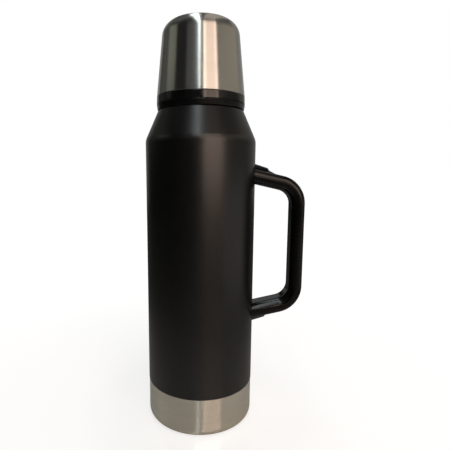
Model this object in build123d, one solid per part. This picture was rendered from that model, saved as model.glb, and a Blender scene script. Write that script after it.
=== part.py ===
"""Vacuum-insulated growler: steel bottle with a D handle, a push-button stopper and a cup lid.

Millimetres, +Z up. The origin is on the bottle's axis, in the plane it stands on, and the
handle is on the +X side. Each function makes one piece, and each piece is written to its own file.
"""
import math
import os

from build123d import *

# Driving dimensions of the outside
body_radius = 50.0
total_height = 362.0
paint_edge_height = 35.75
shoulder_height = 260.8
shoulder_top_height = 286.8
shoulder_top_radius = 38.45
shoulder_round = 12.0
shoulder_ledge_round = 1.2
steel_wall = 0.8
seam_gap = 0.3
seat_gap = 0.05

# Base cup
base_radius = 49.7
base_wall = 0.75
base_corner_round = 5.8
foot_ring_inner_radius = 36.5
base_recess_radius = 34.0
base_recess_depth = 2.2
base_press_round = 1.5

# Vacuum vessel
skirt_radius = base_radius - base_wall - seat_gap
skirt_bottom = 6.0
neck_radius = 29.2
lip_height = 307.0
inner_radius = 46.4
inner_wall = 0.7
inner_neck_radius = 27.0
inner_shoulder_start = 256.0
inner_shoulder_top = 282.5
inner_shoulder_top_radius = 34.5
inner_tube_bottom = 15.0
vessel_floor = 11.0
end_plate_height = 5.8
end_plate_flange = 10.0
dimple_radius = 9.0
dimple_floor_radius = 6.0
dimple_depth = 1.8
evacuation_hole_radius = 1.5
seal_bead_radius = 5.0
seal_bead_bottom = 0.4
getter_radius = 5.0
getter_height = 2.6
getter_fill = 2.0
getter_wall = 0.6
getter_offset = 22.0
foil_thickness = 0.2
foil_gap = 0.1
foil_bottom = 18.0
foil_top = 250.0

# Neck collar and the cup's screw thread
collar_radius = 39.65
collar_foot_radius = 38.8
collar_foot_round = 0.8
collar_band_top = 291.8
collar_bore_radius = 29.3
sleeve_radius = 33.2
sleeve_top = 304.5
thread_starts = 3
thread_lead = 12.0
cup_thread_start = 294.4
cup_thread_reach = 1.3

# Cup lid
cup_steel_foot = 298.7
cup_foot_radius = 39.4
cup_top_radius = 33.15
cup_corner_round = 12.8
cup_liner_wall = 1.6
cup_liner_gap = 0.3
cup_bore_radius = 35.0
cup_seal_height = 304.55
cup_seal_thickness = 1.7
cup_seal_ledge_radius = 32.4
cup_seal_ledge = 1.5
cup_seal_outer_radius = 34.7
cup_seal_inner_radius = 30.0
cup_seat_gap = 0.15

# Stopper
plug_radius = 24.6
plug_bottom = 283.5
plug_bore_radius = 16.0
valve_seat_radius = 12.0
valve_seat_top = 286.5
flange_radius = 29.0
flange_bottom = 308.25
flange_top = 311.0
stopper_thread_start = 293.0
stopper_thread_reach = 1.2
spider_bottom = 299.8
spider_top = 302.5
spider_arm_width = 3.2
stem_radius = 3.0
stem_guide_radius = 3.3
stem_hub_radius = 5.6
stem_top = 321.4
valve_plate_radius = 14.0
valve_plate_bottom = 279.4
valve_plate_top = 282.0
valve_seal_inner_radius = 8.0
grip_radius = 28.0
grip_top = 323.5
grip_flutes = 18
flute_radius = 2.6
flute_depth = 0.7
pouring_window_width = 14.0
vent_window_width = 6.0
window_height = 4.4
window_sill = 2.9
button_radius = 11.9
button_top = 326.0
button_skirt_bottom = 316.0
button_bore_gap = 0.3
button_socket_top = 321.5
button_pocket_top = 318.6
spring_radius = 7.2
spring_wire_radius = 0.6
spring_turns = 5

# Handle
handle_middle = 165.5
handle_width = 24.0
handle_outer_round = 4.6
handle_inner_round = 7.0
grip_outer_x = 95.7
grip_inner_x = 83.7
arm_slope = math.tan(math.radians(13.0))
arm_inner_rise = 56.5
arm_outer_rise = 70.1
arm_line_x = 50.0
grip_outer_round = 26.0
grip_inner_round = 13.5
boss_start_x = 51.4
boss_start_rise = 65.6
boss_tilt = 16.2
boss_root = -9.0
boss_root_radius = 9.0
boss_crown_end = 8.6
boss_crown_radius = 8.5
boss_step_end = 10.6
boss_step_radius = 6.7
boss_tail_end = 19.5
boss_tail_radius = 5.0
screw_offset = 3.7
screw_radius = 1.75
screw_length = 8.8
screw_head_radius = 2.9
screw_head_height = 2.3
screw_socket_radius = 1.25
screw_socket_depth = 0.6
screw_well_radius = 3.3
screw_seat = 3.3
well_top = 14.0
cover_bottom = 6.3
lug_half_width = 4.5
lug_top = -0.7
lug_bottom = -4.7
lug_length = 7.6
lug_root = -10.0
lug_end_round = 3.0
lug_clearance = 0.3


def lathe(outline, rounds=()):
    """Turn a closed (radius, height) outline about Z. rounds lists (corner number, radius)."""
    profile = make_face(Polyline(*outline, close=True))
    for corner, radius in rounds:
        spot = Vector(*outline[corner])
        profile = fillet(profile.vertices().sort_by_distance(spot)[0], radius)
    return revolve(Plane.XZ * profile, Axis.Z)


def pressed_sheet(line, bends, thickness, side):
    """Turn a sheet whose one face follows the (radius, height) line, bent by the given radii."""
    face_line = FilletPolyline(*line, radius=bends)
    section = make_face(offset(face_line, thickness, side=side))
    return revolve(Plane.XZ * section, Axis.Z)


def tube(outer, inner, bottom, top):
    return lathe([(inner, bottom), (outer, bottom), (outer, top), (inner, top)])


def cylinder_between(radius, bottom, top):
    return Pos(0, 0, bottom) * Cylinder(radius, top - bottom, align=(Align.CENTER, Align.CENTER, Align.MIN))


def thread_rib(root_radius, reach, start_height, sweep_angle, start_angle):
    """One rib of a multi-start thread. A negative reach points it inwards."""
    root_half = 1.0
    crest_half = 0.5
    root_overlap = 0.3 if reach > 0 else -0.3
    rise = thread_lead * sweep_angle / 360
    path = Helix(pitch=thread_lead, height=rise, radius=root_radius)
    corners = [
        (root_radius - root_overlap, -root_half),
        (root_radius + reach, -crest_half),
        (root_radius + reach, crest_half),
        (root_radius - root_overlap, root_half),
    ]
    section = Plane.XZ * make_face(Polyline(*corners, close=True))
    rib = sweep(section, path=path, is_frenet=True)
    return Pos(0, 0, start_height) * Rot(0, 0, start_angle) * rib


def thread(root_radius, reach, start_height, sweep_angle, first_angle=0.0):
    spacing = 360 / thread_starts
    angles = [first_angle + spacing * start for start in range(thread_starts)]
    return [thread_rib(root_radius, reach, start_height, sweep_angle, angle) for angle in angles]


# ---- Bottle -------------------------------------------------------------------------------


def make_outer_shell():
    ledge = 1.15
    paint_edge_round = 0.4
    neck_round = 0.5
    wall = steel_wall
    cone = (body_radius - shoulder_top_radius) / (shoulder_top_height - shoulder_height)
    slant = math.hypot(1, cone)
    inner_knee = shoulder_height - wall * (slant - 1) / cone
    inner_top = shoulder_top_height - wall
    inner_top_radius = shoulder_top_radius - wall * slant + wall * cone
    outline = [
        (skirt_radius - wall, skirt_bottom),
        (skirt_radius, skirt_bottom),
        (skirt_radius, paint_edge_height),
        (body_radius, paint_edge_height),
        (body_radius, shoulder_height),
        (shoulder_top_radius, shoulder_top_height),
        (neck_radius, shoulder_top_height),
        (neck_radius, lip_height - wall),
        (neck_radius - wall, lip_height - wall),
        (neck_radius - wall, inner_top),
        (inner_top_radius, inner_top),
        (body_radius - wall, inner_knee),
        (body_radius - wall, paint_edge_height + ledge),
        (skirt_radius - wall, paint_edge_height + ledge),
    ]
    rounds = [
        (4, shoulder_round),
        (11, shoulder_round - wall),
        (5, shoulder_ledge_round),
        (3, paint_edge_round),
        (6, neck_round),
    ]
    return lathe(outline, rounds)


def make_base_cup():
    line = [
        (base_radius, paint_edge_height - seam_gap),
        (base_radius, 0),
        (foot_ring_inner_radius, 0),
        (base_recess_radius, base_recess_depth),
        (0, base_recess_depth),
    ]
    bends = [base_corner_round, base_press_round, base_press_round]
    return pressed_sheet(line, bends, base_wall, Side.RIGHT)


def make_outer_end_plate():
    rim_bend = 3.0
    dimple_bend = 1.0
    line = [
        (skirt_radius - steel_wall, end_plate_height + end_plate_flange),
        (skirt_radius - steel_wall, end_plate_height),
        (dimple_radius, end_plate_height),
        (dimple_floor_radius, end_plate_height + dimple_depth),
        (evacuation_hole_radius, end_plate_height + dimple_depth),
    ]
    return pressed_sheet(line, [rim_bend, dimple_bend, dimple_bend], steel_wall, Side.RIGHT)


def make_vacuum_seal():
    """The solder that closes the evacuation hole from below, with a nub up into the hole."""
    bead_bottom = end_plate_height + seal_bead_bottom
    bead_top = end_plate_height + dimple_depth
    bead_slope = 1.2
    bead_round = 0.5
    nub_radius = evacuation_hole_radius - seat_gap
    nub_height = 0.6
    outline = [
        (0, bead_bottom),
        (seal_bead_radius - bead_slope, bead_bottom),
        (seal_bead_radius, bead_top),
        (nub_radius, bead_top),
        (nub_radius, bead_top + nub_height),
        (0, bead_top + nub_height),
    ]
    return lathe(outline, [(1, bead_round)])


def make_getter():
    """A pressed tablet in a shallow ring, on the end plate inside the vacuum."""
    floor_height = end_plate_height + steel_wall
    tablet_radius = getter_radius - getter_wall
    ring = tube(getter_radius, tablet_radius, floor_height, floor_height + getter_height)
    tablet = cylinder_between(tablet_radius, floor_height, floor_height + getter_fill)
    return Pos(getter_offset, 0, 0) * (ring + tablet)


def make_inner_vessel():
    wall = inner_wall
    inner_neck = inner_neck_radius - wall
    neck_start = inner_shoulder_top + 1.5
    knee_round = 10.0
    throat_round = 3.0
    neck_start_round = 1.5
    lip_round = 0.35
    lip_inner_round = 0.6
    thread_sweep = 100
    outline = [
        (inner_radius - wall, inner_tube_bottom),
        (inner_radius, inner_tube_bottom),
        (inner_radius, inner_shoulder_start),
        (inner_shoulder_top_radius, inner_shoulder_top),
        (inner_neck_radius, neck_start),
        (inner_neck_radius, lip_height - steel_wall),
        (neck_radius, lip_height - steel_wall),
        (neck_radius, lip_height),
        (inner_neck, lip_height),
        (inner_neck, neck_start - wall),
        (inner_shoulder_top_radius - wall, inner_shoulder_top - wall),
        (inner_radius - wall, inner_shoulder_start - wall / 4),
    ]
    rounds = [
        (2, knee_round),
        (11, knee_round - wall),
        (3, throat_round),
        (10, throat_round + wall),
        (4, neck_start_round),
        (9, neck_start_round + wall),
        (7, lip_round),
        (8, lip_inner_round),
    ]
    vessel = lathe(outline, rounds)
    for rib in thread(inner_neck, -stopper_thread_reach, stopper_thread_start, thread_sweep):
        vessel += rib
    return vessel


def make_inner_bottom():
    rim_height = 19.5
    rim_bend = 5.0
    dish_rise = 1.5
    edge = inner_radius - inner_wall
    line = [(edge, rim_height), (edge, vessel_floor), (0, vessel_floor + dish_rise)]
    return pressed_sheet(line, [rim_bend], inner_wall, Side.RIGHT)


def make_copper_foil():
    inside = inner_radius + foil_gap
    return tube(inside + foil_thickness, inside, foil_bottom, foil_top)


def make_neck_collar():
    foot = shoulder_top_height + seam_gap
    edge_round = 0.35
    sleeve_round = 0.6
    thread_sweep = 150
    outline = [
        (collar_bore_radius, foot),
        (collar_foot_radius, foot),
        (collar_radius, collar_band_top),
        (sleeve_radius, collar_band_top),
        (sleeve_radius, sleeve_top),
        (collar_bore_radius, sleeve_top),
    ]
    collar = lathe(outline, [(1, collar_foot_round), (2, edge_round), (4, sleeve_round)])
    for rib in thread(sleeve_radius, cup_thread_reach, cup_thread_start, thread_sweep):
        collar += rib
    return collar


# ---- Handle -------------------------------------------------------------------------------


def arm_line(rise, x):
    """Height above the handle's middle of a straight arm line, at x."""
    return rise - arm_slope * (x - arm_line_x)


def handle_contour(rise, grip_x, corner_round):
    """The face that two arm lines and the grip line enclose, reaching into the bottle."""
    start_x = 40.0
    shoulder = arm_line(rise, grip_x)
    start = arm_line(rise, start_x)
    corners = [(start_x, -start), (grip_x, -shoulder), (grip_x, shoulder), (start_x, start)]
    face = make_face(Polyline(*corners, close=True))
    for corner in corners[1:3]:
        face = fillet(face.vertices().sort_by_distance(Vector(*corner))[0], corner_round)
    return face


def foot_frame():
    """Local frame of the upper foot: X along the foot, Z out of its crown, origin on its axis."""
    return Pos(boss_start_x, 0, handle_middle + boss_start_rise) * Rot(0, boss_tilt, 0)


def upper_boss():
    """The rounded swelling of the upper foot, turned about the foot's own axis."""
    crown_round = 1.6
    step_round = 3.0
    tail_round = 2.0
    outline = [
        (boss_root, 0),
        (boss_root, boss_root_radius),
        (boss_crown_end, boss_crown_radius),
        (boss_step_end, boss_step_radius),
        (boss_tail_end, boss_tail_radius),
        (boss_tail_end, 0),
    ]
    profile = make_face(Polyline(*outline, close=True))
    for corner, radius in ((2, crown_round), (3, step_round), (4, tail_round)):
        spot = Vector(*outline[corner])
        profile = fillet(profile.vertices().sort_by_distance(spot)[0], radius)
    return foot_frame() * revolve(Plane.XZ * profile, Axis.X)


def mirrored(piece):
    """The same piece at the lower foot."""
    return mirror(piece, about=Plane.XY.offset(handle_middle))


def side_edges(bar, outside):
    """The long edges of the handle's two flat sides, on its outside or round its opening."""
    faces = bar.faces().sort_by(Axis.Y)
    edges = [edge for face in (faces[0], faces[-1]) for edge in face.edges()]
    edges = [edge for edge in edges if edge.bounding_box().max.X > arm_line_x]
    chosen = []
    for edge in edges:
        middle = edge @ 0.5
        rise = abs(middle.Z - handle_middle)
        beyond_grip = middle.X > (grip_inner_x + grip_outer_x) / 2
        beyond_arm = rise > arm_line((arm_inner_rise + arm_outer_rise) / 2, middle.X)
        if (beyond_grip or beyond_arm) == outside:
            chosen.append(edge)
    return chosen


def handle_solid():
    """The handle's outer form, before its feet are hollowed for the lugs and screws."""
    outer = handle_contour(arm_outer_rise, grip_outer_x, grip_outer_round)
    inner = handle_contour(arm_inner_rise, grip_inner_x, grip_inner_round)
    bow = Plane.XZ.offset(-handle_width / 2) * (outer - inner)
    bar = Pos(0, 0, handle_middle) * extrude(bow, handle_width)
    bar = fillet(side_edges(bar, outside=True), handle_outer_round)
    bar = fillet(side_edges(bar, outside=False), handle_inner_round)
    boss = upper_boss()
    solid = bar + boss + mirrored(boss)
    return solid - cylinder_between(body_radius + seat_gap, 0, total_height)


def lug_block(gap):
    """The lug's outline in the foot's frame, grown by a gap on every side."""
    length = lug_length - lug_root + 2 * gap
    width = 2 * (lug_half_width + gap)
    height = lug_top - lug_bottom + 2 * gap
    middle = Pos((lug_length + lug_root) / 2, 0, (lug_top + lug_bottom) / 2)
    return middle * Box(length, width, height)


def foot_cavity():
    """What the upper foot is hollowed by: the lug's pocket, the screw's hole and its well."""
    hole_gap = 0.2
    hole_bottom = screw_seat - screw_length - hole_gap
    hole = cylinder_between(screw_radius + hole_gap, hole_bottom, well_top)
    well = cylinder_between(screw_well_radius, screw_seat, well_top)
    screw_space = Pos(screw_offset, 0, 0) * (hole + well)
    return foot_frame() * (lug_block(lug_clearance) + screw_space)


def make_handle():
    cavity = foot_cavity()
    return handle_solid() - cavity - mirrored(cavity)


def upper_lug():
    """The tongue welded to the bottle that the upper foot is screwed to."""
    block = lug_block(0)
    block = fillet(block.edges().filter_by(Axis.Z).sort_by(Axis.X)[-2:], lug_end_round)
    hole = cylinder_between(screw_radius + seat_gap, lug_bottom - 1, lug_top + 1)
    lug = foot_frame() * (block - Pos(screw_offset, 0, 0) * hole)
    return lug - cylinder_between(body_radius, 0, total_height)


def make_handle_screws():
    head_top = screw_seat + screw_head_height
    head_round = 0.8
    point_chamfer = 0.5
    head = cylinder_between(screw_head_radius, screw_seat, head_top)
    head = fillet(head.edges().sort_by(Axis.Z)[-1], head_round)
    hexagon = extrude(RegularPolygon(screw_socket_radius, 6), screw_head_height)
    socket = Pos(0, 0, head_top - screw_socket_depth) * hexagon
    shank = cylinder_between(screw_radius, screw_seat - screw_length, screw_seat)
    shank = chamfer(shank.edges().sort_by(Axis.Z)[0], point_chamfer)
    screw = foot_frame() * Pos(screw_offset, 0, 0) * (head + shank - socket)
    return Compound(children=[screw, mirrored(screw)])


def make_screw_covers():
    """The plugs over the screw wells, cut flush with the feet."""
    plug = cylinder_between(screw_well_radius - 2 * seat_gap, cover_bottom, well_top)
    cover = handle_solid() & (foot_frame() * Pos(screw_offset, 0, 0) * plug)
    return Compound(children=[cover, mirrored(cover)])


# ---- Cup lid ------------------------------------------------------------------------------


def cup_side_radius(height):
    """Outer radius of the cup's straight side at a height."""
    share = (height - cup_steel_foot) / (total_height - cup_steel_foot)
    return cup_foot_radius + (cup_top_radius - cup_foot_radius) * share


def make_cup_shell():
    inside_top = total_height - steel_wall
    edge_round = 0.38
    outline = [
        (cup_foot_radius - steel_wall, cup_steel_foot),
        (cup_foot_radius, cup_steel_foot),
        (cup_top_radius, total_height),
        (0, total_height),
        (0, inside_top),
        (cup_side_radius(inside_top) - steel_wall, inside_top),
    ]
    rounds = [
        (2, cup_corner_round),
        (5, cup_corner_round - steel_wall),
        (1, edge_round),
        (0, edge_round),
    ]
    return lathe(outline, rounds)


def make_cup_liner():
    """The cup's moulded lining. Its foot is the black band below the steel."""
    band_foot = collar_band_top + seam_gap
    band_top = cup_steel_foot - cup_seat_gap
    skin = steel_wall + cup_liner_gap
    top = total_height - skin
    floor_height = top - cup_liner_wall
    ledge = cup_seal_height + cup_seal_thickness + cup_seat_gap
    ledge_top = ledge + cup_seal_ledge
    wall_above_ledge = cup_side_radius(ledge_top) - skin - cup_liner_wall
    edge_round = 0.35
    bore_round = 0.4
    corner_round = cup_corner_round - skin
    thread_sweep = 90
    outline = [
        (cup_bore_radius, band_foot),
        (collar_radius - seat_gap, band_foot),
        (cup_foot_radius, band_top),
        (cup_side_radius(band_top) - skin, band_top),
        (cup_side_radius(top) - skin, top),
        (0, top),
        (0, floor_height),
        (cup_side_radius(floor_height) - skin - cup_liner_wall, floor_height),
        (wall_above_ledge, ledge_top),
        (cup_seal_ledge_radius, ledge_top),
        (cup_seal_ledge_radius, ledge),
        (cup_bore_radius, ledge),
    ]
    rounds = [
        (4, corner_round),
        (7, corner_round - cup_liner_wall),
        (1, edge_round),
        (2, edge_round),
        (0, bore_round),
    ]
    liner = lathe(outline, rounds)
    half_pitch = thread_lead / thread_starts / 2
    thread_start = cup_thread_start + half_pitch
    for rib in thread(cup_bore_radius, -cup_thread_reach, thread_start, thread_sweep):
        liner += rib
    return liner


def make_cup_seal():
    top = cup_seal_height + cup_seal_thickness
    return tube(cup_seal_outer_radius, cup_seal_inner_radius, cup_seal_height, top)


# ---- Stopper ------------------------------------------------------------------------------


def make_stopper_body():
    snap_ring_radius = 25.3
    snap_ring_wall = 1.4
    snap_ring_top = flange_top + 2.6
    seat_slope = 1.0
    plug_foot_round = 1.2
    flange_round = 0.5
    bore_round = 0.8
    spider_arms = 3
    arm_root = 0.5
    thread_sweep = 90
    outline = [
        (valve_seat_radius, plug_bottom),
        (plug_radius, plug_bottom),
        (plug_radius, flange_bottom),
        (flange_radius, flange_bottom),
        (flange_radius, flange_top),
        (snap_ring_radius, flange_top),
        (snap_ring_radius, snap_ring_top),
        (snap_ring_radius - snap_ring_wall, snap_ring_top),
        (snap_ring_radius - snap_ring_wall, flange_top),
        (plug_bore_radius, flange_top),
        (plug_bore_radius, valve_seat_top),
        (valve_seat_radius, valve_seat_top - seat_slope),
    ]
    rounds = [(1, plug_foot_round), (3, flange_round), (4, flange_round), (9, bore_round)]
    body = lathe(outline, rounds)
    hub = cylinder_between(stem_hub_radius, spider_bottom, spider_top)
    arm_reach = plug_bore_radius + arm_root
    arm = Box(arm_reach, spider_arm_width, spider_top - spider_bottom)
    arm = Pos(arm_reach / 2, 0, (spider_bottom + spider_top) / 2) * arm
    for step in range(spider_arms):
        hub += Rot(0, 0, 360 / spider_arms * step) * arm
    body += hub
    body -= cylinder_between(stem_guide_radius, spider_bottom - 1, spider_top + 1)
    half_pitch = thread_lead / thread_starts / 2
    thread_start = stopper_thread_start - half_pitch
    for rib in thread(plug_radius, stopper_thread_reach, thread_start, thread_sweep):
        body += rib
    return body


def make_stopper_cap():
    """The grip that snaps over the stopper body, with the pouring window on the -X side."""
    top_plate = 3.2
    grip_wall = 2.5
    grip_flare = 0.8
    guide_wall = 1.8
    guide_length = 8.0
    flute_bottom = 317.0
    window_reach = 12.0
    top_round = 2.0
    bore_round = 0.5
    side_root_round = 1.0
    guide_root_round = 0.6
    side_inner = grip_radius - grip_wall
    bore = button_radius + button_bore_gap
    guide_outer = bore + guide_wall
    guide_bottom = grip_top - guide_length
    outline = [
        (side_inner, flange_top),
        (grip_radius + grip_flare, flange_top),
        (grip_radius, grip_top),
        (bore, grip_top),
        (bore, guide_bottom),
        (guide_outer, guide_bottom),
        (guide_outer, grip_top - top_plate),
        (side_inner, grip_top - top_plate),
    ]
    rounds = [(2, top_round), (3, bore_round), (7, side_root_round), (6, guide_root_round)]
    cap = lathe(outline, rounds)
    flute = cylinder_between(flute_radius, flute_bottom, grip_top + 1)
    flute = Pos(grip_radius + flute_radius - flute_depth, 0, 0) * flute
    for step in range(grip_flutes):
        cap -= Rot(0, 0, 360 * (step + 0.5) / grip_flutes) * flute
    window_middle = flange_top + window_sill + window_height / 2
    for angle, width in ((180, pouring_window_width), (0, vent_window_width)):
        window = Box(window_reach, width, window_height)
        cap -= Rot(0, 0, angle) * Pos(grip_radius, 0, window_middle) * window
    return cap


def make_stopper_seal():
    inset = 0.3
    bottom = lip_height + seat_gap
    top = flange_bottom - seat_gap
    return tube(neck_radius - inset, plug_radius + inset, bottom, top)


def make_push_button():
    pocket_gap = 0.6
    spring_pocket = spring_radius + spring_wire_radius + pocket_gap
    crown = 0.9
    crown_round = 1.2
    foot_round = 0.4
    outline = [
        (stem_radius, button_socket_top),
        (stem_radius, button_pocket_top),
        (spring_pocket, button_pocket_top),
        (spring_pocket, button_skirt_bottom),
        (button_radius, button_skirt_bottom),
        (button_radius, button_top - crown),
        (0, button_top),
        (0, button_socket_top),
    ]
    return lathe(outline, [(5, crown_round), (4, foot_round)])


def make_return_spring():
    seat = spider_top + seat_gap
    length = button_pocket_top - seat_gap - seat - 2 * spring_wire_radius
    path = Helix(pitch=length / spring_turns, height=length, radius=spring_radius)
    wire = Plane(origin=path @ 0, z_dir=path % 0) * Circle(spring_wire_radius)
    return Pos(0, 0, seat + spring_wire_radius) * sweep(wire, path=path, is_frenet=True)


def make_valve_stem():
    plate_round = 1.0
    root_round = 1.5
    tip_round = 0.5
    outline = [
        (0, valve_plate_bottom),
        (valve_plate_radius, valve_plate_bottom),
        (valve_plate_radius, valve_plate_top),
        (stem_radius, valve_plate_top),
        (stem_radius, stem_top),
        (0, stem_top),
    ]
    return lathe(outline, [(1, plate_round), (3, root_round), (4, tip_round)])


def make_valve_seal():
    top = plug_bottom - seat_gap
    return tube(valve_plate_radius, valve_seal_inner_radius, valve_plate_top, top)


pieces = {
    "outer_shell": make_outer_shell,
    "base_cup": make_base_cup,
    "outer_end_plate": make_outer_end_plate,
    "vacuum_seal": make_vacuum_seal,
    "getter": make_getter,
    "inner_vessel": make_inner_vessel,
    "inner_bottom": make_inner_bottom,
    "copper_foil": make_copper_foil,
    "neck_collar": make_neck_collar,
    "handle": make_handle,
    "upper_lug": upper_lug,
    "lower_lug": lambda: mirrored(upper_lug()),
    "handle_screws": make_handle_screws,
    "screw_covers": make_screw_covers,
    "cup_shell": make_cup_shell,
    "cup_liner": make_cup_liner,
    "cup_seal": make_cup_seal,
    "stopper_body": make_stopper_body,
    "stopper_cap": make_stopper_cap,
    "stopper_seal": make_stopper_seal,
    "push_button": make_push_button,
    "return_spring": make_return_spring,
    "valve_stem": make_valve_stem,
    "valve_seal": make_valve_seal,
}

os.makedirs("parts", exist_ok=True)
for name, make in pieces.items():
    export_step(make(), f"parts/{name}.step")
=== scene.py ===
import math

import bpy
from mathutils import Matrix, Vector


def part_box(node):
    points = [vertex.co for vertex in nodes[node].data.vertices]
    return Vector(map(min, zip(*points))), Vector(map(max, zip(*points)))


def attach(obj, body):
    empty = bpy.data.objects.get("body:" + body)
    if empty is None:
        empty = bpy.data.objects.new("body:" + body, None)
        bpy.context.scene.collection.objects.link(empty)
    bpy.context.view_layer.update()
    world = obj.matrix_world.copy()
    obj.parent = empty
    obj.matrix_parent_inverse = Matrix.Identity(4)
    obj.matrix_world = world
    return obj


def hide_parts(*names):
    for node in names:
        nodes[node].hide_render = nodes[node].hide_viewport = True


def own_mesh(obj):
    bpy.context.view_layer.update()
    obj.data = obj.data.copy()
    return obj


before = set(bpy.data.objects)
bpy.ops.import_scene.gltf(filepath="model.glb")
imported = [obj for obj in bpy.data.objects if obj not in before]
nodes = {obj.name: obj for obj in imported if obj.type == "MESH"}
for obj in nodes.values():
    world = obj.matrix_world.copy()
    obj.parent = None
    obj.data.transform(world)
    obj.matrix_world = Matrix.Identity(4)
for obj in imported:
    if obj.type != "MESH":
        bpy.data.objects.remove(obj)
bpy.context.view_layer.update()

scene = bpy.context.scene

# ---- Shader building ----------------------------------------------------------------------

NOISE_BAND = (0.3, 0.7)
CLOUD_BAND = (0.35, 0.65)


class Finish:
    """A node material under construction."""

    def __init__(self, name):
        self.material = bpy.data.materials.new(name)
        self.material.use_nodes = True
        self.tree = self.material.node_tree
        self.shader = self.tree.nodes["Principled BSDF"]
        self.place = self.add("ShaderNodeTexCoord").outputs["Object"]

    def add(self, kind, **settings):
        node = self.tree.nodes.new(kind)
        for key, value in settings.items():
            setattr(node, key, value)
        return node

    def put(self, socket, value):
        """Link a socket to an output, or give it a value."""
        if isinstance(value, bpy.types.NodeSocket):
            self.tree.links.new(value, socket)
        else:
            socket.default_value = value

    def math(self, operation, first, second):
        node = self.add("ShaderNodeMath", operation=operation)
        self.put(node.inputs[0], first)
        self.put(node.inputs[1], second)
        return node.outputs[0]

    def join(self, x, y, z):
        node = self.add("ShaderNodeCombineXYZ")
        for socket, value in zip(node.inputs, (x, y, z)):
            self.put(socket, value)
        return node.outputs[0]

    def noise(self, vector, scale, detail=2.0, roughness=0.5, distortion=0.0):
        node = self.add("ShaderNodeTexNoise")
        self.put(node.inputs["Vector"], vector)
        node.inputs["Scale"].default_value = scale
        node.inputs["Detail"].default_value = detail
        node.inputs["Roughness"].default_value = roughness
        node.inputs["Distortion"].default_value = distortion
        return node.outputs["Fac"]

    def spread(self, value, low, high, given=NOISE_BAND):
        """Map value from the given range to low..high."""
        node = self.add("ShaderNodeMapRange")
        self.put(node.inputs["Value"], value)
        self.put(node.inputs["From Min"], given[0])
        self.put(node.inputs["From Max"], given[1])
        self.put(node.inputs["To Min"], low)
        self.put(node.inputs["To Max"], high)
        return node.outputs["Result"]

    def blend(self, amount, first, second):
        """Mix two colours. Sockets 6 and 7 are the node's colours A and B, and output 2 is theirs."""
        node = self.add("ShaderNodeMix", data_type="RGBA")
        self.put(node.inputs[0], amount)
        self.put(node.inputs[6], (*first, 1.0) if isinstance(first, tuple) else first)
        self.put(node.inputs[7], (*second, 1.0) if isinstance(second, tuple) else second)
        return node.outputs[2]

    def clouded(self, noise, shade, low, high):
        """The shade in patches between low and high times its brightness."""
        dark = tuple(channel * low for channel in shade)
        bright = tuple(channel * high for channel in shade)
        return self.blend(self.spread(noise, 0.0, 1.0, CLOUD_BAND), dark, bright)

    def uneven(self, fine, coarse, roughness, fine_swing, coarse_swing):
        """A roughness that two noises vary by their swings."""
        grain = self.spread(fine, roughness - fine_swing, roughness + fine_swing)
        return self.math("ADD", grain, self.spread(coarse, -coarse_swing, coarse_swing))

    def bump(self, height, distance, after=None):
        node = self.add("ShaderNodeBump")
        node.inputs["Distance"].default_value = distance
        self.put(node.inputs["Height"], height)
        if after is not None:
            self.put(node.inputs["Normal"], after)
        return node.outputs["Normal"]

    def turned(self, around, along):
        """Coordinates that change slowly round the Z axis and fast along and out from it."""
        parts = self.add("ShaderNodeSeparateXYZ")
        self.put(parts.inputs[0], self.place)
        x, y, z = parts.outputs
        flat = self.join(x, y, 0.0)
        length = self.add("ShaderNodeVectorMath", operation="LENGTH")
        self.put(length.inputs[0], flat)
        unit = self.add("ShaderNodeVectorMath", operation="NORMALIZE")
        self.put(unit.inputs[0], flat)
        halves = self.add("ShaderNodeSeparateXYZ")
        self.put(halves.inputs[0], unit.outputs[0])
        depth = self.math("ADD", z, length.outputs["Value"])
        return self.join(
            self.math("MULTIPLY", halves.outputs[0], around),
            self.math("MULTIPLY", halves.outputs[1], around),
            self.math("MULTIPLY", depth, along),
        )

    def set(self, **values):
        """Give the shader's own sockets their values, with _ for a space in each name."""
        for key, value in values.items():
            self.put(self.shader.inputs[key.replace("_", " ")], value)


# ---- Materials ----------------------------------------------------------------------------


def brushed_metal(name, shade, roughness, aniso, contrast=0.14, groove=0.000006):
    """Steel polished on a lathe: fine grooves run round the Z axis."""
    line_share = 0.6
    look = Finish(name)
    lines = look.noise(look.turned(around=7.0, along=5200.0), scale=1.0, detail=3.0, roughness=0.62)
    bands = look.noise(look.turned(around=2.0, along=420.0), scale=1.0, detail=2.0, roughness=0.5)
    cloud = look.noise(look.place, scale=45.0, detail=3.0, roughness=0.55)
    line_tone = look.math("MULTIPLY", lines, line_share)
    tone = look.math("ADD", line_tone, look.math("MULTIPLY", bands, 1 - line_share))
    dark = tuple(channel * (1 - contrast) for channel in shade)
    bright = tuple(channel * (1 + contrast) for channel in shade)
    look.set(
        Base_Color=look.blend(look.spread(tone, 0.0, 1.0), dark, bright),
        Metallic=1.0,
        Roughness=look.uneven(lines, cloud, roughness, fine_swing=contrast / 3, coarse_swing=0.015),
        Anisotropic=aniso,
        Anisotropic_Rotation=0.25,
        Normal=look.bump(lines, groove),
    )
    tangent = look.add("ShaderNodeTangent", direction_type="RADIAL", axis="Z")
    look.put(look.shader.inputs["Tangent"], tangent.outputs[0])
    return look.material


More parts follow.
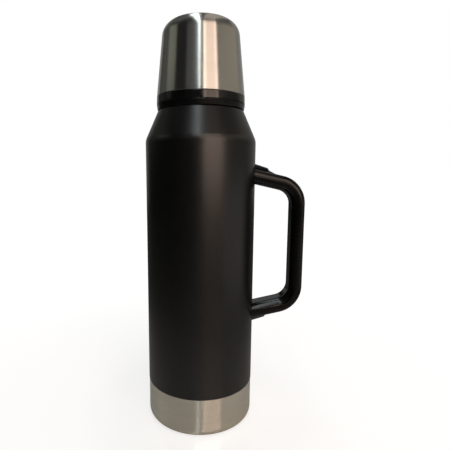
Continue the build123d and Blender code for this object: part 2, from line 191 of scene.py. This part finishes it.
def powder_coat():
    """Black powder coat: a fine grain on a slight orange peel."""
    look = Finish("powder_coat_black")
    peel = look.noise(look.place, scale=620.0, detail=3.0, roughness=0.55)
    grain = look.noise(look.place, scale=3600.0, detail=2.0, roughness=0.6)
    cloud = look.noise(look.place, scale=28.0, detail=3.0, roughness=0.5)
    peel_depth = 0.000012
    grain_depth = 0.000008
    look.set(
        Base_Color=look.clouded(cloud, (0.0012, 0.0012, 0.0012), low=2 / 3, high=4 / 3),
        Roughness=look.uneven(grain, cloud, roughness=0.32, fine_swing=0.03, coarse_swing=0.015),
        Specular_IOR_Level=0.78,
        Normal=look.bump(grain, grain_depth, look.bump(peel, peel_depth)),
    )
    return look.material


def plastic(name, shade, roughness, level=0.5, texture=0.000010):
    """Moulded plastic with a fine spark-eroded skin and faint flow marks."""
    look = Finish(name)
    skin = look.noise(look.place, scale=2600.0, detail=3.0, roughness=0.6)
    flow = look.noise(look.place, scale=60.0, detail=3.0, roughness=0.6, distortion=0.4)
    look.set(
        Base_Color=look.clouded(flow, shade, low=0.8, high=1.25),
        Roughness=look.uneven(skin, flow, roughness, fine_swing=0.03, coarse_swing=0.03),
        Specular_IOR_Level=level,
        Normal=look.bump(skin, texture),
    )
    return look.material


def rubber(name, shade):
    """Moulded rubber with a dull, slightly dusty skin."""
    look = Finish(name)
    skin = look.noise(look.place, scale=1800.0, detail=3.0, roughness=0.6)
    dust = look.noise(look.place, scale=240.0, detail=4.0, roughness=0.6)
    look.set(
        Base_Color=look.clouded(dust, shade, low=0.85, high=1.12),
        Roughness=look.spread(skin, low=0.5, high=0.66),
        Specular_IOR_Level=0.4,
        Normal=look.bump(skin, distance=0.00002),
    )
    return look.material


def plain_metal(name, shade, roughness, scale=900.0):
    """Metal as it leaves the press, with a fine skin and faint patches."""
    swing = 0.07
    look = Finish(name)
    skin = look.noise(look.place, scale, detail=4.0, roughness=0.6)
    patch = look.noise(look.place, scale=130.0, detail=3.0, roughness=0.55, distortion=0.5)
    look.set(
        Base_Color=look.clouded(patch, shade, low=0.8, high=1.15),
        Metallic=1.0,
        Roughness=look.spread(skin, roughness - swing, roughness + swing),
        Normal=look.bump(skin, distance=0.000012),
    )
    return look.material


base_steel = (0.9, 0.865, 0.775)
cup_steel = (0.545, 0.535, 0.51)
vessel_steel = (0.5, 0.49, 0.47)
black = (0.0015, 0.0015, 0.0015)
blue_black = (0.0015, 0.0015, 0.0016)
finishes = {
    "powder_coat": powder_coat(),
    "brushed_base": brushed_metal(
        "base_brushed_steel", base_steel, roughness=0.24, aniso=0.75, contrast=0.1, groove=0.000004
    ),
    "satin_cup_steel": brushed_metal(
        "cup_brushed_steel", cup_steel, roughness=0.25, aniso=0.8, contrast=0.035, groove=0.0000012
    ),
    "vessel_steel": brushed_metal("vessel_steel", vessel_steel, roughness=0.34, aniso=0.5),
    "raw_steel": plain_metal("raw_steel", (0.38, 0.37, 0.36), roughness=0.42),
    "solder": plain_metal("solder", (0.5, 0.5, 0.51), roughness=0.36),
    "getter_metal": plain_metal("getter_metal", (0.22, 0.21, 0.2), roughness=0.5),
    "copper": plain_metal("copper_foil", (0.72, 0.36, 0.22), roughness=0.26, scale=300.0),
    "collar_plastic": plastic("collar_plastic", blue_black, roughness=0.2, level=0.65),
    "handle_plastic": plastic("handle_plastic", black, roughness=0.17, level=0.36, texture=0.000004),
    "cup_plastic": plastic("cup_plastic", blue_black, roughness=0.16, level=0.78),
    "stopper_plastic": plastic("stopper_plastic", (0.012, 0.012, 0.012), roughness=0.34),
    "button_plastic": plastic("button_plastic", (0.02, 0.02, 0.021), roughness=0.3),
    "silicone": rubber("silicone", (0.09, 0.09, 0.092)),
    "screw_steel": plain_metal("screw_steel", (0.5, 0.49, 0.48), roughness=0.25),
    "spring_steel": plain_metal("spring_steel", (0.46, 0.45, 0.44), roughness=0.22),
}
for node in nodes.values():
    for holder in node.material_slots:
        holder.material = finishes[holder.material.name.split(".")[0]]


def add_piece(name, verts, faces):
    """Put a new mesh object into the scene."""
    mesh = bpy.data.meshes.new(name)
    mesh.from_pydata(verts, [], faces)
    piece = bpy.data.objects.new(name, mesh)
    scene.collection.objects.link(piece)
    return piece


# ---- Return spring ------------------------------------------------------------------------


def coil(name, low, high, outer, wire, turns, dead_turns=0.9, steps=48, sides=14):
    """A compression spring about Z whose end turns lie close together."""
    radius = outer - wire
    length = high - low - 2 * wire
    dead_pitch = 2.15 * wire
    dead_rise = dead_pitch * dead_turns
    verts, faces = [], []
    count = int(turns * steps) + 1
    for index in range(count):
        turn = turns * index / (count - 1)
        angle = 2 * math.pi * turn
        if turn < dead_turns:
            rise = dead_rise * turn / dead_turns
        elif turn > turns - dead_turns:
            rise = length - dead_rise * (turns - turn) / dead_turns
        else:
            share = (turn - dead_turns) / (turns - 2 * dead_turns)
            rise = dead_rise + (length - 2 * dead_rise) * share
        out_x, out_y = math.cos(angle), math.sin(angle)
        for side in range(sides):
            around = 2 * math.pi * side / sides
            reach = radius + wire * math.cos(around)
            height = low + wire + rise + wire * math.sin(around)
            verts.append((reach * out_x, reach * out_y, height))
    for index in range(count - 1):
        for side in range(sides):
            here = index * sides + side
            beside = index * sides + (side + 1) % sides
            faces.append((here, here + sides, beside + sides, beside))
    faces.append(tuple(range(sides)))
    faces.append(tuple(reversed(range((count - 1) * sides, count * sides))))
    piece = add_piece(name, verts, faces)
    piece.data.polygons.foreach_set("use_smooth", [len(face) == 4 for face in faces])
    return piece


wire_radius = 0.0006
spring_turns = 6.5
spring_inset = 0.00002
spring_low, spring_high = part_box("return_spring")
spring_radius = spring_high[0] - spring_inset
spring = coil("spring_coil", spring_low[2], spring_high[2], spring_radius, wire_radius, spring_turns)
spring.data.materials.append(finishes["spring_steel"])
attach(spring, "stopper")
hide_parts("return_spring")
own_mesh(spring)

# ---- Sealant under the collar -------------------------------------------------------------


def bead(name, inner, outer, low, high, steps=160):
    """A flat ring about Z with a half-round outer edge."""
    half = (high - low) / 2
    profile = [(inner, high), (inner, low)]
    for degrees in range(-90, 91, 30):
        angle = math.radians(degrees)
        profile.append((outer - half + half * math.cos(angle), low + half + half * math.sin(angle)))
    verts, faces = [], []
    for step in range(steps):
        turn = 2 * math.pi * step / steps
        verts += [(radius * math.cos(turn), radius * math.sin(turn), z) for radius, z in profile]
    count = len(profile)
    for step in range(steps):
        here = step * count
        there = (step + 1) % steps * count
        for point in range(count):
            after = (point + 1) % count
            faces.append((here + point, there + point, there + after, here + after))
    return add_piece(name, verts, faces)


seam = 0.0003
bead_inner = 0.0295
bead_setback = 0.0022
collar_low, collar_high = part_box("neck_collar")
bead_outer = collar_high[0] - bead_setback
sealant = bead("collar_sealant", bead_inner, bead_outer, collar_low[2] - seam, collar_low[2])
sealant.data.materials.append(rubber("black_sealant", (0.003, 0.003, 0.003)))
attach(sealant, "bottle")

# ---- Lights -------------------------------------------------------------------------------


def soft_light(name, size, colour, radiance):
    """A rectangular light of one brightness, which the camera doesn't see."""
    lamp = bpy.data.lights.new(name, "AREA")
    lamp.shape = "RECTANGLE"
    lamp.size, lamp.size_y = size
    lamp.color = colour
    lamp.energy = radiance * math.pi * lamp.size * lamp.size_y
    piece = bpy.data.objects.new(name, lamp)
    piece.visible_camera = False
    scene.collection.objects.link(piece)
    return piece


def panel(name, azimuth, elevation, distance, colour, radiance):
    """An upright light facing the Z axis. It fills ranges of azimuth, from -Y towards +X, and of
    elevation, in degrees, as seen from a point on the axis."""
    eye_height = 0.2
    left, right = (math.radians(angle) for angle in azimuth)
    bottom, top = (eye_height + distance * math.tan(math.radians(angle)) for angle in elevation)
    middle = (left + right) / 2
    width = 2 * distance * math.tan((right - left) / 2)
    piece = soft_light(name, (width, top - bottom), colour, radiance)
    away_x, away_y = distance * math.sin(middle), -distance * math.cos(middle)
    piece.location = Vector((away_x, away_y, (bottom + top) / 2))
    piece.rotation_euler = (math.pi / 2, 0, middle)


def strip(name, centre, size, colour, radiance):
    """A ceiling light, facing down."""
    soft_light(name, size, colour, radiance).location = centre


white = (1.0, 1.0, 1.0)
near_white = (1.0, 1.0, 0.98)
peach = (1.0, 0.76, 0.62)
pale_peach = (1.0, 0.88, 0.76)
cream = (1.0, 0.93, 0.82)
pale_cream = (1.0, 0.95, 0.85)
amber = (1.0, 0.9, 0.72)
pale_amber = (1.0, 0.97, 0.9)
sand = (1.0, 0.9, 0.8)
ivory = (1.0, 0.96, 0.88)
pale_ivory = (1.0, 0.97, 0.92)
pale_cyan = (0.92, 1.0, 1.0)
pale_blue = (0.88, 0.93, 1.0)
pale_green = (0.97, 1.0, 0.8)
green_white = (0.97, 1.0, 0.9)

softbox = (7, 44)
softbox_distance = 1.6
edge_distance = 1.58
right_wall = (49, 118)
wall_distance = 2.2
back_distance = 1.9
ceiling = 1.9

panel("softbox_low", softbox, (2, 15), softbox_distance, peach, 3.2)
panel("softbox_high", softbox, (15, 45), softbox_distance, peach, 1.7)
panel("softbox_left_edge", (7, 12), (2, 47), edge_distance, pale_peach, 1.7)
panel("softbox_right_edge", (40, 44), (2, 47), edge_distance, pale_peach, 1.5)
strip("ceiling_light", (-0.2, -1.4, ceiling), (0.25, 4.6), pale_cyan, 4.3)
strip("ceiling_left", (-0.9, 0.5, ceiling), (1.1, 1.6), white, 0.11)
strip("ceiling_right", (0.5, 0.2, ceiling), (0.7, 1.8), sand, 0.5)
panel("right_wall_low", right_wall, (-4, 15), wall_distance, cream, 0.15)
panel("right_wall_high", right_wall, (17, 36), wall_distance, amber, 0.4)
panel("right_wall_top", right_wall, (36, 56), wall_distance, pale_amber, 0.1)
panel("right_wall_end", (118, 138), (-2, 45), wall_distance, pale_cream, 0.26)
panel("right_card", (46, 96), (-25, 3), 0.42, ivory, 0.31)
panel("left_wall", (-40, -10), (19, 36), 2.6, near_white, 0.12)
panel("left_door", (-104, -74), (21, 36), wall_distance, pale_green, 0.29)
panel("left_door_low", (-100, -82), (15, 20), wall_distance, pale_blue, 0.2)
panel("left_wall_end", (-130, -104), (5, 40), wall_distance, green_white, 0.08)
panel("back_wall", (140, 186), (-4, 55), back_distance, white, 0.34)
panel("back_softbox", (196, 222), (-4, 45), back_distance, pale_ivory, 0.3)

# ---- Background: dim to the light and white to the camera ---------------------------------

world = bpy.data.worlds.new("studio")
scene.world = world
world.use_nodes = True
tree = world.node_tree
dim = tree.nodes["Background"]
dim.inputs[0].default_value = (0.018, 0.018, 0.018, 1)
backdrop = tree.nodes.new("ShaderNodeBackground")
backdrop.inputs[0].default_value = (*white, 1)
pick = tree.nodes.new("ShaderNodeMixShader")
rays = tree.nodes.new("ShaderNodeLightPath")
tree.links.new(rays.outputs["Is Camera Ray"], pick.inputs[0])
tree.links.new(dim.outputs[0], pick.inputs[1])
tree.links.new(backdrop.outputs[0], pick.inputs[2])
tree.links.new(pick.outputs[0], tree.nodes["World Output"].inputs[0])

# ---- Floor: pale paper that glows to the camera away from the object ----------------------


def floor_finish():
    """Polished paper near the origin, dull and dark to the light further away."""
    look = Finish("floor_white")
    paper = look.noise(look.place, scale=300.0, detail=3.0, roughness=0.6)
    away = look.add("ShaderNodeVectorMath", operation="LENGTH")
    look.put(away.inputs[0], look.place)
    radius = away.outputs["Value"]
    near = look.blend(paper, (0.54, 0.525, 0.505), (0.58, 0.565, 0.545))
    look.set(
        Base_Color=look.blend(look.spread(radius, 0.0, 1.0, (0.12, 0.4)), near, (0.1, 0.1, 0.1)),
        Roughness=look.spread(radius, 0.14, 0.6, (0.08, 0.25)),
        Specular_IOR_Level=0.8,
    )
    lift = look.add("ShaderNodeEmission")
    lift.inputs[0].default_value = (*white, 1)
    total = look.add("ShaderNodeAddShader")
    camera_ray = look.add("ShaderNodeLightPath").outputs["Is Camera Ray"]
    glow = look.spread(radius, 0.7, 1.0, (0.1, 0.45))
    look.put(lift.inputs[1], look.math("MULTIPLY", camera_ray, glow))
    look.put(total.inputs[0], look.shader.outputs[0])
    look.put(total.inputs[1], lift.outputs[0])
    look.put(look.tree.nodes["Material Output"].inputs[0], total.outputs[0])
    return look.material


floor_half = 6.0
corners = [(x * floor_half, y * floor_half, 0) for x, y in ((-1, -1), (1, -1), (1, 1), (-1, 1))]
floor = add_piece("floor", corners, [(0, 1, 2, 3)])
floor.data.materials.append(floor_finish())

# ---- Camera -------------------------------------------------------------------------------

camera_distance = 0.36039
camera_height = 0.22991
camera_pitch = math.radians(8.06)
camera_roll = 0.0031

lens = bpy.data.cameras.new("camera")
lens.sensor_width = 36.0
lens.lens = 30.7464
lens.shift_x = 0.054555556
lens.shift_y = 0.010711111
lens.clip_start = 0.01
camera = bpy.data.objects.new("camera", lens)
tilt = Matrix.Rotation(math.pi / 2 - camera_pitch, 4, "X") @ Matrix.Rotation(camera_roll, 4, "Z")
camera.matrix_world = Matrix.Translation((0, -camera_distance, camera_height)) @ tilt
scene.collection.objects.link(camera)
scene.camera = camera
scene.view_settings.view_transform = "Standard"
